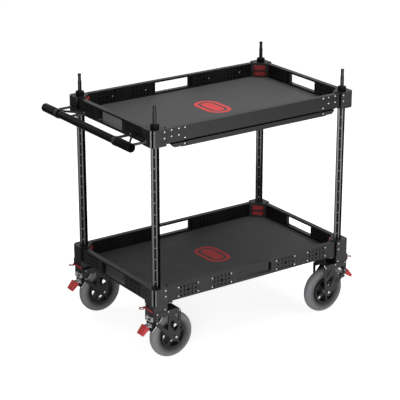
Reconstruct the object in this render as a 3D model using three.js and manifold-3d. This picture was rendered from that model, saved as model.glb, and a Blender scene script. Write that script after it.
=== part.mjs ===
// Camera cart: two deep trays clamped to four grooved posts, on four braked swivel casters,
// with a push handle at one end and a shallow shelf that pulls out from under the top tray.
// Millimetres, +Z up. The trays run along X with the handle at -X, and the front is at -Y.

import * as THREE from "three";
import { mergeVertices } from "three/addons/utils/BufferGeometryUtils.js";
import Module from "manifold-3d";

const wasm = await Module();
wasm.setup();

// Lay-out of the posts and trays
const postSpacingX = 965;
const postSpacingY = 581.6;
const trayPitch = 684.4;
const seat = 0.3;
const slip = 0.35;
const weld = 0.0005;

// Corner castings of the trays
const cornerHeight = 71.5;
const cornerReach = 38;
const cornerNoseWidth = 20;
const cornerGrooveWidth = 7.5;
const cornerGrooveDepth = 5;
const cornerFaceBack = 31.5;
const cornerEndBack = 37.5;
const cornerChannelReach = 22;
const cornerInnerReach = 30;

// Rails between the corners
const railRise = 3.5;
const railHeight = 65;
const railReach = 29.5;
const railThickness = 22;
const ledgeThickness = 3;
const ledgeInner = 2;
const ledgeOuter = 18;
const handHoleLength = 184;
const handHoleHeight = 45.5;
const handHoleRise = 11;
const handHoleRadius = 6;
const handRebateReach = 13;
const handRebateDepth = 9;
const frontRecessHeight = 6;
const frontRecessReach = 20;

// Tray floors
const floorThickness = 2.5;

// Posts
const postWidth = 31.2;
const postCornerCut = 2.5;
const postGrooveWidth = 8;
const postGrooveDepth = 5;

// Screwed spigots on the posts
const knobRadius = 18.5;
const knobHeight = 17.2;
const knobLobeDepth = 1.8;
const spigotRadius = 8;
const spigotNeckRadius = 6.7;
const spigotHeadRadius = 7.6;
const spigotHeight = 76.4;
const spigotHeadHeight = 6;
const spigotNeckHeight = 24;
const spigotChamfer = 1;

// Clamp levers inside the corners
const leverLength = 62;
const leverHeight = 21;
const leverThickness = 9;
const leverSpacing = 30.5;
const leverUpperDrop = 16;
const leverTipCut = 4;
const leverPinRadius = 4.2;

// Push handle
const barReach = 142.5;
const barRise = 27.9;
const barRadius = 16.3;
const gripRadius = 19;
const gripLength = 102;
const barLength = 684;
const barChamfer = 1.5;
const armInner = 174;
const armOuter = 302;
const armThickness = 8;
const armDrop = 0.5;
const armMember = 11;
const collarWidth = 18;
const collarThickness = 4;

// Shelf under the top tray and its runners
const shelfHalfWidth = 345;
const shelfHeight = 22;
const shelfDepth = 480;
const shelfWall = 4;
const shelfFloorThickness = 2.2;
const shelfPanelDrop = 2;
const shelfWallDrop = 6.4;
const shelfFlangeReach = 7.4;
const shelfFlangeThickness = 5.8;
const shelfFlangeDrop = 10.1;
const runnerWidth = 27;
const runnerEndWidth = 76;
const runnerEndDepth = 20;
const runnerEndCut = 15;
const runnerEndRise = 3;
const runnerTie = 20;

// Casters: wheel
const wheelRadius = 101.6;
const tyreWidth = 45.4;
const rimRadius = 58;
const rimWall = 7;
const rimWidth = 38;
const hubRadius = 21;
const hubWidth = 41;
const hubNoseRadius = 12;
const spokeWidth = 12;
const spokeThickness = 34;
const spokeCount = 5;
const axleRadius = 6;

// Casters: fork
const wheelTrail = 71.7;
const casterInset = 4;
const forkHeadroom = 28.8;
const forkHeight = wheelRadius * 2 + forkHeadroom;
const forkWidth = 82;
const forkPlate = 5;
const forkTopPlate = 6;
const forkBackCut = 11;
const forkBossRadius = 20;
const forkWebThickness = 4;
const forkWebHeight = 50;
const axleHeadRadius = 6.5;
const axleHeadHeight = 3.5;
const axleHeadSides = 6;
const stemRadius = 10;
const stemLength = 24;
const socketHeight = 30.3;
const socketReach = 35;
const earReach = 64;
const earWidth = 25;
const earThickness = 7.2;

// Casters: brake pedal
const pedalPinX = 30;
const pedalPinZ = 165;
const pedalPinRadius = 2.5;
const pedalBarrelRadius = 7;
const pedalLugRadius = 4.8;
const pedalLugThickness = 4;
const pedalBarrelWidth = 33.4;
const pedalPadX = 66;
const pedalPadZ = 151;
const pedalPadLength = 44;
const pedalPadRoot = 23;
const pedalPadTip = 13;
const pedalPadWidth = 39;
const pedalArmThickness = 8;
const pedalArmWidth = 26;
const shoeGap = 7.6;
const shoeLength = 83.5;
const shoeLead = 35;
const shoeThickness = 3;
const shoeWidth = 62;
const shoeLipReach = 9;
const shoeLipWidth = 40;
const padTiltDegrees = 46;
const shoeTiltDegrees = 47;

// Casters: release pull
const pullBladeThickness = 2.6;
const pullBladeHeight = 8.6;
const pullBladeRise = 1;
const pullBladeLong = 38;
const pullBladeShort = 31;
const pullRingX = 55;
const pullRingY = 23.6;
const pullRingRadius = 12;
const pullRingHole = 7.2;
const pullRingThickness = 3;
const pullNeckWidth = 9;

// Corner points of the fork's side plate and its openings: first the distance behind the
// swivel axis as a share of the wheel radius, then the height over the axle as a share of
// the fork's height over the axle.
const forkFrontShare = -0.28;
const forkBackShare = 0.955;
const forkFrontLowShare = 0.578;
const forkBackLowShare = 0.701;
const forkOpeningShares = [
  [[0.846, 0.801], [0.846, 0.54], [0.551, 0.801]],
  [[0.83, 0.351], [0.472, 0.678], [0.433, 0.432], [0.67, 0.187]],
  [[0.354, 0.801], [-0.138, 0.801], [-0.138, 0.632], [0.315, 0.294]],
];

// How far the hub of a wheel is turned, as a share of the angle between two spokes
const leftHubTurnShare = 0.125;
const rightHubTurnShare = 0.61;

// Cross-section of the tyre: shares of its depth outside the rim and of its half width
const tyreShares = [
  [0, 0.7], [0.15, 0.88], [0.46, 1], [0.64, 0.96], [0.79, 0.82], [0.914, 0.57], [1, 0.14],
];

// Values that follow from those above
const postX = postSpacingX / 2;
const postY = postSpacingY / 2;
const lowerCornerLow = forkHeight + seat + socketHeight;
const topCornerLow = lowerCornerLow + trayPitch;
const topCornerHigh = topCornerLow + cornerHeight;
const railInner = railReach - railThickness;
const floorReach = railInner - seat;
const diagonal = Math.SQRT2;
const quarterTurn = Math.PI / 2;
const degree = Math.PI / 180;
const roundSteps = 20;
const smallSteps = 12;
const wheelSteps = 36;
const knobLobes = 8;

// Outlines raised, carried or turned into closed shapes
function extrude(points, depth) {
  const shape = new THREE.Shape(points.map(([x, y]) => new THREE.Vector2(x, y)));
  return new THREE.ExtrudeGeometry(shape, { depth, bevelEnabled: false });
}

function raised(points, low, high) {
  return extrude(points, high - low).translate(0, 0, low);
}

function alongY(points, near, far) {
  return extrude(points, far - near).rotateX(quarterTurn).translate(0, far, 0);
}

function alongX(points, left, right) {
  const xAxis = new THREE.Vector3(1, 0, 0);
  const yAxis = new THREE.Vector3(0, 1, 0);
  const zAxis = new THREE.Vector3(0, 0, 1);
  const turn = new THREE.Matrix4().makeBasis(yAxis, zAxis, xAxis);
  return extrude(points, right - left).applyMatrix4(turn).translate(left, 0, 0);
}

function block(x0, x1, y0, y1, z0, z1) {
  const box = new THREE.BoxGeometry(x1 - x0, y1 - y0, z1 - z0);
  return box.translate((x0 + x1) / 2, (y0 + y1) / 2, (z0 + z1) / 2);
}

function uprightRod(radius, x, y, low, high, steps = roundSteps) {
  const rod = new THREE.CylinderGeometry(radius, radius, high - low, steps);
  return rod.rotateX(quarterTurn).translate(x, y, (low + high) / 2);
}

function crossRod(radius, x, z, near, far, steps = roundSteps) {
  const rod = new THREE.CylinderGeometry(radius, radius, far - near, steps);
  return rod.translate(x, (near + far) / 2, z);
}

function turnedOnY(profile, steps) {
  const points = profile.map(([radius, y]) => new THREE.Vector2(radius, y));
  return new THREE.LatheGeometry(points, steps);
}

function roundedRectangle(x0, x1, z0, z1, radius) {
  const arcSteps = 3;
  const centres = [
    [x1 - radius, z1 - radius],
    [x0 + radius, z1 - radius],
    [x0 + radius, z0 + radius],
    [x1 - radius, z0 + radius],
  ];
  return centres.flatMap(([x, z], corner) =>
    Array.from({ length: arcSteps + 1 }, (_, i) => {
      const angle = (corner + i / arcSteps) * quarterTurn;
      return [x + radius * Math.cos(angle), z + radius * Math.sin(angle)];
    }),
  );
}

// Solids: joined and cut, then drawn as flat-shaded meshes
function solidOf(geometry) {
  const loose = geometry.index ? geometry.toNonIndexed() : geometry;
  const bare = new THREE.BufferGeometry();
  bare.setAttribute("position", loose.getAttribute("position").clone());
  const merged = mergeVertices(bare, weld);
  const index = merged.index.array;
  const kept = [];
  for (let i = 0; i < index.length; i += 3) {
    const [a, b, c] = index.slice(i, i + 3);
    if (a !== b && b !== c && c !== a) {
      kept.push(a, b, c);
    }
  }
  return new wasm.Manifold(
    new wasm.Mesh({
      numProp: 3,
      vertProperties: new Float32Array(merged.getAttribute("position").array),
      triVerts: new Uint32Array(kept),
    }),
  );
}

function joined(...geometries) {
  return geometries.map(solidOf).reduce((whole, piece) => whole.add(piece));
}

function cutFrom(solid, ...geometries) {
  return geometries.map(solidOf).reduce((rest, tool) => rest.subtract(tool), solid);
}

function geometryOf(solid) {
  const mesh = solid.getMesh();
  const positions = new Float32Array(mesh.numVert * 3);
  for (let i = 0; i < mesh.numVert; i += 1) {
    const start = i * mesh.numProp;
    positions.set(mesh.vertProperties.subarray(start, start + 3), i * 3);
  }
  const indexed = new THREE.BufferGeometry();
  indexed.setAttribute("position", new THREE.BufferAttribute(positions, 3));
  indexed.setIndex(new THREE.BufferAttribute(mesh.triVerts, 1));
  const flat = indexed.toNonIndexed();
  flat.computeVertexNormals();
  return flat;
}

// Finishes
function blackAnodised() {
  return new THREE.MeshStandardMaterial({ color: 0x2d2e30, roughness: 0.45, metalness: 0.6 });
}

function blackCasting() {
  return new THREE.MeshStandardMaterial({ color: 0x303133, roughness: 0.5, metalness: 0.4 });
}

function floorSheet() {
  return new THREE.MeshStandardMaterial({ color: 0x4a4b4c, roughness: 0.65, metalness: 0.2 });
}

function postExtrusion() {
  return new THREE.MeshStandardMaterial({ color: 0x6f7072, roughness: 0.35, metalness: 0.8 });
}

function darkSteel() {
  return new THREE.MeshStandardMaterial({ color: 0x1f2022, roughness: 0.4, metalness: 0.7 });
}

function gripSurface() {
  return new THREE.MeshStandardMaterial({ color: 0x242527, roughness: 0.6, metalness: 0.1 });
}

function redPart() {
  return new THREE.MeshStandardMaterial({ color: 0xc43a3c, roughness: 0.45, metalness: 0.1 });
}

function tyreRubber() {
  return new THREE.MeshStandardMaterial({ color: 0x77787a, roughness: 0.85, metalness: 0 });
}

function hubPlastic() {
  return new THREE.MeshStandardMaterial({ color: 0x1c1d1f, roughness: 0.55, metalness: 0.1 });
}

const cart = new THREE.Group();

function addPiece(group, name, solid, material) {
  const mesh = new THREE.Mesh(geometryOf(solid), material);
  mesh.name = name;
  group.add(mesh);
}

const places = [
  { name: "front_left", sideX: -1, sideY: -1 },
  { name: "front_right", sideX: 1, sideY: -1 },
  { name: "back_left", sideX: -1, sideY: 1 },
  { name: "back_right", sideX: 1, sideY: 1 },
];

const levels = [
  { name: "lower", low: lowerCornerLow },
  { name: "top", low: topCornerLow },
];

function atPost(points, place) {
  return points.map(([u, v]) => [place.sideX * (postX + u), place.sideY * (postY + v)]);
}

// Corner castings, which each clamp round one post
function cornerOutline() {
  const noseCut = cornerNoseWidth / diagonal;
  const noseMiddle = cornerReach - noseCut / 2;
  const grooveSide = cornerGrooveWidth / 2 / diagonal;
  const grooveIn = cornerGrooveDepth / diagonal;
  const innerEnd = cornerInnerReach * diagonal + floorReach;
  const half = [
    [noseMiddle - grooveSide - grooveIn, noseMiddle + grooveSide - grooveIn],
    [noseMiddle - grooveSide, noseMiddle + grooveSide],
    [cornerReach - noseCut, cornerReach],
    [-cornerFaceBack, cornerReach],
    [-cornerFaceBack, cornerChannelReach],
    [-cornerEndBack, cornerChannelReach],
    [-cornerEndBack, floorReach],
    [-innerEnd, floorReach],
  ];
  const mirrored = half.map(([u, v]) => [v, u]).reverse();
  return [...half, ...mirrored];
}

function postOutline(halfWidth, grooveDepth) {
  const edge = halfWidth - postCornerCut;
  const groove = postGrooveWidth / 2;
  const bottom = halfWidth - grooveDepth;
  const plain = [[halfWidth, -edge], [halfWidth, edge]];
  const grooved = [
    [halfWidth, -edge],
    [halfWidth, -groove],
    [bottom, -groove],
    [bottom, groove],
    [halfWidth, groove],
    [halfWidth, edge],
  ];
  const side = grooveDepth > 0 ? grooved : plain;
  return [0, 1, 2, 3].flatMap((turn) => {
    const angle = (turn + 1 / 2) * quarterTurn;
    const cos = Math.cos(angle);
    const sin = Math.sin(angle);
    return side.map(([x, y]) => [x * cos - y * sin, x * sin + y * cos]);
  });
}

function postHole(place, low, high) {
  return raised(atPost(postOutline(postWidth / 2 + slip, 0), place), low, high);
}

function topCorner(place) {
  const body = joined(raised(atPost(cornerOutline(), place), topCornerLow, topCornerHigh));
  return cutFrom(body, postHole(place, topCornerLow - seat, topCornerHigh + seat));
}

function lowerCorner(place) {
  const low = lowerCornerLow;
  const high = low + cornerHeight;
  const socket = [
    [-cornerFaceBack, -cornerFaceBack],
    [socketReach, -cornerFaceBack],
    [socketReach, socketReach],
    [-cornerFaceBack, socketReach],
  ];
  const ear = [
    [-earReach, 0],
    [0, 0],
    [0, earWidth],
    [-earReach, earWidth],
  ];
  const body = joined(
    raised(atPost(cornerOutline(), place), low, high),
    raised(atPost(socket, place), low - socketHeight, low + seat),
    raised(atPost(ear, place), low - earThickness, low - seat / 2),
  );
  const stemX = place.sideX * postX;
  const stemY = place.sideY * (postY - casterInset);
  const stemTop = forkHeight + stemLength + seat;
  return cutFrom(
    body,
    postHole(place, low, high + seat),
    uprightRod(stemRadius + slip, stemX, stemY, low - socketHeight - seat, stemTop),
  );
}

for (const place of places) {
  addPiece(cart, `lower_corner_${place.name}`, lowerCorner(place), blackCasting());
  addPiece(cart, `top_corner_${place.name}`, topCorner(place), blackCasting());
}

// Rails, with a ledge inside that carries the tray floor
function railBar(low, recessed) {
  const recessTop = low + frontRecessHeight;
  const foot = recessed
    ? [[frontRecessReach, low], [frontRecessReach, recessTop], [railReach, recessTop]]
    : [[railReach, low]];
  return [
    [railInner, low],
    ...foot,
    [railReach, low + railHeight],
    [railInner, low + railHeight],
  ];
}

function railLedge(low) {
  return [
    [-ledgeInner, low - seat],
    [railInner, low - seat],
    [railInner, low + seat],
    [ledgeOuter, low + seat],
    [ledgeOuter, low - seat - ledgeThickness],
    [-ledgeInner, low - seat - ledgeThickness],
  ];
}

const ledgeBack = cornerInnerReach * diagonal + floorReach + seat;

function longRail(side, low, hasHandHole, recessed) {
  const place = ([v, z]) => [side * (postY + v), z];
  const end = postX - cornerEndBack - seat;
  const ledgeEnd = postX - ledgeBack;
  const body = joined(
    alongX(railBar(low, recessed).map(place), -end, end),
    alongX(railLedge(low).map(place), -ledgeEnd, ledgeEnd),
  );
  const middle = side * (postY + (railInner + railReach) / 2);
  const opening = alongY(handHole(low), middle - railThickness, middle + railThickness);
  const [near, far] = rebateSpan(side, postY);
  return hasHandHole ? cutFrom(body, opening, alongY(handRebate(low), near, far)) : body;
}

// The hole for the hands is longer on the inner side of the rail
function handHole(low) {
  const half = handHoleLength / 2;
  const bottom = low + handHoleRise;
  return roundedRectangle(-half, half, bottom, bottom + handHoleHeight, handHoleRadius);
}

function handRebate(low) {
  const half = handHoleLength / 2 + handRebateReach;
  const bottom = low + handHoleRise;
  const top = bottom + handHoleHeight;
  return [[-half, bottom], [half, bottom], [half, top], [-half, top]];
}

function rebateSpan(side, post) {
  const inner = side * (post + railInner - seat);
  const floor = side * (post + railInner + handRebateDepth);
  return [Math.min(inner, floor), Math.max(inner, floor)];
}

function shortRail(side, low) {
  const place = ([v, z]) => [side * (postX + v), z];
  const end = postY - cornerEndBack - seat;
  const ledgeEnd = postY - ledgeBack;
  const body = joined(
    alongY(railBar(low, false).map(place), -end, end),
    alongY(railLedge(low).map(place), -ledgeEnd, ledgeEnd),
  );
  const middle = side * (postX + (railInner + railReach) / 2);
  const opening = alongX(handHole(low), middle - railThickness, middle + railThickness);
  const [near, far] = rebateSpan(side, postX);
  return cutFrom(body, opening, alongX(handRebate(low), near, far));
}

for (const level of levels) {
  const low = level.low + railRise;
  const isTop = level.name === "top";
  addPiece(cart, `${level.name}_rail_front`, longRail(-1, low, !isTop, isTop), blackAnodised());
  addPiece(cart, `${level.name}_rail_back`, longRail(1, low, true, false), blackAnodised());
  addPiece(cart, `${level.name}_rail_left`, shortRail(-1, low), blackAnodised());
  addPiece(cart, `${level.name}_rail_right`, shortRail(1, low), blackAnodised());
}

// Tray floors, cut off at the corners
function trayFloor(low) {
  const x = postX + floorReach;
  const y = postY + floorReach;
  const cut = (cornerInnerReach + seat) * diagonal + floorReach * 2;
  const outline = [
    [x - cut, -y],
    [x, -y + cut],
    [x, y - cut],
    [x - cut, y],
    [-x + cut, y],
    [-x, y - cut],
    [-x, -y + cut],
    [-x + cut, -y],
  ];
  return joined(raised(outline, low, low + floorThickness));
}

for (const level of levels) {
  addPiece(cart, `${level.name}_floor`, trayFloor(level.low + railRise), floorSheet());
}

// Posts, square and turned by an eighth, with a groove down each side
for (const place of places) {
  const outline = atPost(postOutline(postWidth / 2, postGrooveDepth), place);
  const post = joined(raised(outline, lowerCornerLow + seat, topCornerHigh));
  addPiece(cart, `post_${place.name}`, post, postExtrusion());
}

// Spigots with a lobed knob, one screwed into the top of each post
function knobOutline(lobes) {
  return Array.from({ length: lobes * 2 }, (_, i) => {
    const angle = ((i + 1 / 2) / lobes) * Math.PI;
    const radius = knobRadius - (i % 2) * knobLobeDepth;
    return [radius * Math.cos(angle), radius * Math.sin(angle)];
  });
}

function spigot(place) {
  const low = topCornerHigh + seat;
  const knobHigh = low + knobHeight;
  const top = knobHigh + spigotHeight;
  const headLow = top - spigotHeadHeight;
  const neckLow = headLow - spigotNeckHeight;
  const profile = [
    [0, low],
    [spigotRadius, low],
    [spigotRadius, neckLow - spigotChamfer],
    [spigotNeckRadius, neckLow],
    [spigotNeckRadius, headLow - spigotChamfer],
    [spigotHeadRadius, headLow],
    [spigotHeadRadius, top - spigotChamfer],
    [spigotHeadRadius - spigotChamfer, top],
    [0, top],
  ];
  const x = place.sideX * postX;
  const y = place.sideY * postY;
  const rod = turnedOnY(profile, roundSteps).rotateX(quarterTurn).translate(x, y, 0);
  const knob = raised(knobOutline(knobLobes), low, knobHigh).translate(x, y, 0);
  return joined(knob, rod);
}

for (const place of places) {
  addPiece(cart, `spigot_${place.name}`, spigot(place), darkSteel());
}

// Clamp levers, two on one hinge pin across the inside of each corner
function leverPair(place, high) {
  const face = cornerInnerReach + seat * 2;
  const half = leverLength / 2;
  const front = face + leverThickness;
  const outline = [
    [leverPinRadius - half, face],
    [half, face],
    [half, front - leverTipCut],
    [half - leverTipCut, front],
    [leverTipCut - half, front],
    [-half, front - leverTipCut],
    [-half, face + leverPinRadius],
  ];
  const flip = place.sideX * place.sideY;
  const toCart = ([t, n]) => [
    place.sideX * (postX + (-n + flip * t) / diagonal),
    place.sideY * (postY + (-n - flip * t) / diagonal),
  ];
  const bars = [0, 1].map((row) => {
    const middle = high - leverUpperDrop - row * leverSpacing;
    return raised(outline.map(toCart), middle - leverHeight / 2, middle + leverHeight / 2);
  });
  const [pinX, pinY] = toCart([leverPinRadius - half, face + leverPinRadius]);
  const pinHigh = high - leverUpperDrop;
  const pinLow = pinHigh - leverSpacing;
  return joined(...bars, uprightRod(leverPinRadius, pinX, pinY, pinLow, pinHigh, smallSteps));
}

for (const level of levels) {
  for (const place of places) {
    const pair = leverPair(place, level.low + cornerHeight);
    addPiece(cart, `${level.name}_levers_${place.name}`, pair, redPart());
  }
}

// Push handle: a bar with two thicker ends, held by two pierced arms
const barX = -(postX + barReach);
const barZ = topCornerLow + barRise;

function barProfile(extra) {
  const end = barLength / 2 + extra;
  const gripStart = barLength / 2 - gripLength - extra;
  const grip = gripRadius + extra;
  const bar = barRadius + extra;
  const half = [
    [bar, gripStart],
    [grip, gripStart],
    [grip, end - barChamfer],
    [grip - barChamfer, end],
    [0, end],
  ];
  const mirrored = half.map(([radius, y]) => [radius, -y]).reverse();
  return [...mirrored, ...half];
}

function handleArm(side) {
  const cornerFace = postX + cornerReach + seat;
  const railFace = postX + railReach + seat;
  const bar = postX + barReach;
  const faceStart = postY - cornerFaceBack - seat;
  const outline = [
    [-bar, armInner],
    [-railFace, armInner],
    [-railFace, postY - cornerEndBack - seat],
    [-cornerFace, faceStart],
    [-cornerFace, armOuter],
    [-bar, armOuter],
  ];
  const inner = armInner + armMember;
  const outer = armOuter - armMember;
  const back = -(bar - gripRadius - armMember / 2);
  const front = -(cornerFace + armMember / 2);
  const openings = [
    [[back, inner], [front, inner], [back, outer - armMember]],
    [[front, inner + armMember], [front, outer], [back, outer]],
  ];
  const mirror = (points) => points.map(([x, y]) => [x, side * y]);
  const high = barZ - armDrop;
  const low = high - armThickness;
  const flat = raised(mirror(outline), low, high);
  const windows = openings.map((points) => raised(mirror(points), low - seat, high + seat));
  const gripStart = barLength / 2 - gripLength;
  const collarFar = gripStart - seat * 2;
  const collarEnds = [side * collarFar, side * (collarFar - collarWidth)].sort((a, b) => a - b);
  const collar = crossRod(barRadius + collarThickness, barX, barZ, ...collarEnds);
  const room = turnedOnY(barProfile(seat), roundSteps).translate(barX, 0, barZ);
  return cutFrom(joined(flat, collar), room, ...windows);
}

const barSolid = joined(turnedOnY(barProfile(0), roundSteps).translate(barX, 0, barZ));
addPiece(cart, "handle_bar", barSolid, gripSurface());
addPiece(cart, "handle_arm_front", handleArm(-1), blackCasting());
addPiece(cart, "handle_arm_back", handleArm(1), blackCasting());

// Pull-out shelf: a shallow tray whose side flanges slide in two runners
const shelfTop = topCornerLow + railRise;
const shelfFront = -(postY + railReach);
const shelfBack = shelfFront + shelfDepth;
const shelfLow = shelfTop - shelfHeight;

function shelf() {
  const x = shelfHalfWidth;
  const wallTop = shelfTop - shelfWallDrop;
  const body = joined(
    block(-x, x, shelfFront, shelfBack, shelfLow, wallTop),
    block(-x, x, shelfFront, shelfFront + shelfWall, shelfLow, shelfTop - shelfPanelDrop),
    block(
      -x - shelfFlangeReach,
      x + shelfFlangeReach,
      shelfFront + shelfWall,
      shelfBack,
      shelfTop - shelfFlangeDrop - shelfFlangeThickness,
      shelfTop - shelfFlangeDrop,
    ),
  );
  return cutFrom(
    body,
    block(
      -x + shelfWall,
      x - shelfWall,
      shelfFront + shelfWall,
      shelfBack - shelfWall,
      shelfLow + shelfFloorThickness,
      shelfTop,
    ),
  );
}

function runners() {
  const inner = shelfHalfWidth + seat;
  const high = shelfTop - seat * 2 - ledgeThickness;
  const groove = shelfHalfWidth + shelfFlangeReach + seat;
  const grooveHigh = shelfTop - shelfFlangeDrop + seat;
  const grooveLow = shelfTop - shelfFlangeDrop - shelfFlangeThickness - seat;
  const back = shelfBack + seat;
  const section = (outer, cut) => [
    [inner, high],
    [inner, grooveHigh],
    [groove, grooveHigh],
    [groove, grooveLow],
    [inner, grooveLow],
    [inner, shelfLow],
    [outer - cut, shelfLow],
    [outer, high],
  ];
  const mirror = (points) => points.map(([x, z]) => [-x, z]);
  const runner = section(inner + runnerWidth, 0);
  const end = section(inner + runnerEndWidth, runnerEndCut).map(([x, z]) => [
    x,
    z === shelfLow ? z + runnerEndRise : z,
  ]);
  const padNear = -postY + ledgeInner + seat;
  const padOuter = inner + runnerWidth;
  return joined(
    alongY(runner, shelfFront, back),
    alongY(mirror(runner), shelfFront, back),
    alongY(end, shelfFront, shelfFront + runnerEndDepth),
    alongY(mirror(end), shelfFront, shelfFront + runnerEndDepth),
    block(-padOuter, padOuter, back, back + runnerTie, shelfLow, high),
    block(inner, padOuter, padNear, back + runnerTie, high - seat, shelfTop - seat),
    block(-padOuter, -inner, padNear, back + runnerTie, high - seat, shelfTop - seat),
  );
}

addPiece(cart, "shelf_tray", shelf(), blackAnodised());
addPiece(cart, "shelf_runners", runners(), darkSteel());

// Casters: each is drawn about its own swivel axis, with the wheel trailing towards +X
const tyreBore = rimRadius + seat;

function tyre() {
  const depth = wheelRadius - tyreBore;
  const half = tyreShares.map(([out, side]) => [tyreBore + depth * out, (side * tyreWidth) / 2]);
  const mirrored = half.map(([radius, y]) => [radius, -y]);
  const profile = [...mirrored, ...half.reverse(), mirrored[0]];
  return joined(turnedOnY(profile, wheelSteps).translate(wheelTrail, 0, wheelRadius));
}

function hub(turnShare) {
  const rimHalf = rimWidth / 2;
  const rimProfile = [
    [rimRadius - rimWall, -rimHalf],
    [rimRadius, -rimHalf],
    [rimRadius, rimHalf],
    [rimRadius - rimWall, rimHalf],
    [rimRadius - rimWall, -rimHalf],
  ];
  const noseHalf = forkWidth / 2 - forkPlate - seat;
  const spokes = Array.from({ length: spokeCount }, (_, i) => {
    const spoke = block(
      0,
      rimRadius - rimWall / 2,
      -spokeThickness / 2,
      spokeThickness / 2,
      -spokeWidth / 2,
      spokeWidth / 2,
    );
    return spoke.rotateY((-(i + turnShare) / spokeCount) * Math.PI * 2);
  });
  const body = joined(
    turnedOnY(rimProfile, wheelSteps),
    crossRod(hubRadius, 0, 0, -hubWidth / 2, hubWidth / 2),
    crossRod(hubNoseRadius, 0, 0, -noseHalf, noseHalf, smallSteps),
    ...spokes,
  );
  const bored = cutFrom(body, crossRod(axleRadius + slip, 0, 0, -forkWidth, forkWidth, smallSteps));
  return bored.translate([wheelTrail, 0, wheelRadius]);
}

function forkPlateOutline() {
  const front = forkFrontShare * wheelRadius;
  const back = forkBackShare * wheelRadius;
  const overAxle = forkHeight - wheelRadius;
  const frontLow = wheelRadius + forkFrontLowShare * overAxle;
  const away = Math.hypot(wheelTrail - front, frontLow - wheelRadius);
  const towards = Math.atan2(frontLow - wheelRadius, front - wheelTrail);
  const last = towards + Math.acos(forkBossRadius / away) - Math.PI * 2;
  const arcSteps = 9;
  const boss = Array.from({ length: arcSteps + 1 }, (_, i) => {
    const angle = (last * i) / arcSteps;
    return [
      wheelTrail + forkBossRadius * Math.cos(angle),
      wheelRadius + forkBossRadius * Math.sin(angle),
    ];
  });
  return [
    [front, forkHeight],
    [back - forkBackCut, forkHeight],
    [back, forkHeight - forkBackCut],
    [back, wheelRadius + forkBackLowShare * overAxle],
    ...boss,
    [front, frontLow],
  ];
}

function fork() {
  const outline = forkPlateOutline();
  const overAxle = forkHeight - wheelRadius;
  const openings = forkOpeningShares.map((opening) =>
    opening.map(([x, z]) => [x * wheelRadius, wheelRadius + z * overAxle]),
  );
  const half = forkWidth / 2;
  const inside = half - forkPlate;
  const front = forkFrontShare * wheelRadius;
  const back = forkBackShare * wheelRadius;
  const lugHalf = pedalBarrelWidth / 2 + seat;
  const lugs = [-1, 1].flatMap((side) => {
    const ends = [side * lugHalf, side * (lugHalf + pedalLugThickness)].sort((a, b) => a - b);
    return [
      crossRod(pedalLugRadius, -pedalPinX, pedalPinZ, ...ends, smallSteps),
      block(
        -pedalPinX - pedalLugRadius,
        -pedalPinX + pedalLugRadius,
        ...ends,
        pedalPinZ,
        forkHeight - forkWebHeight + pedalLugRadius,
      ),
    ];
  });
  const axleHeadEnd = half + axleHeadHeight;
  const windows = openings.map((points) => alongY(points, -forkWidth, forkWidth));
  const plates = cutFrom(
    joined(alongY(outline, -half, -inside), alongY(outline, inside, half)),
    ...windows,
  );
  const rest = joined(
    block(
      front,
      back - forkBackCut,
      -half + seat,
      half - seat,
      forkHeight - forkTopPlate,
      forkHeight,
    ),
    block(
      front,
      front + forkWebThickness,
      -half + seat,
      half - seat,
      forkHeight - forkWebHeight,
      forkHeight,
    ),
    crossRod(axleRadius, wheelTrail, wheelRadius, -half, half, smallSteps),
    crossRod(axleHeadRadius, wheelTrail, wheelRadius, -axleHeadEnd, -inside, axleHeadSides),
    crossRod(axleHeadRadius, wheelTrail, wheelRadius, inside, axleHeadEnd, axleHeadSides),
    uprightRod(stemRadius, 0, 0, forkHeight - forkTopPlate, forkHeight + stemLength),
    crossRod(
      pedalPinRadius,
      -pedalPinX,
      pedalPinZ,
      -lugHalf - pedalLugThickness,
      lugHalf + pedalLugThickness,
      smallSteps,
    ),
    ...lugs,
  );
  return plates.add(rest);
}

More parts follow.
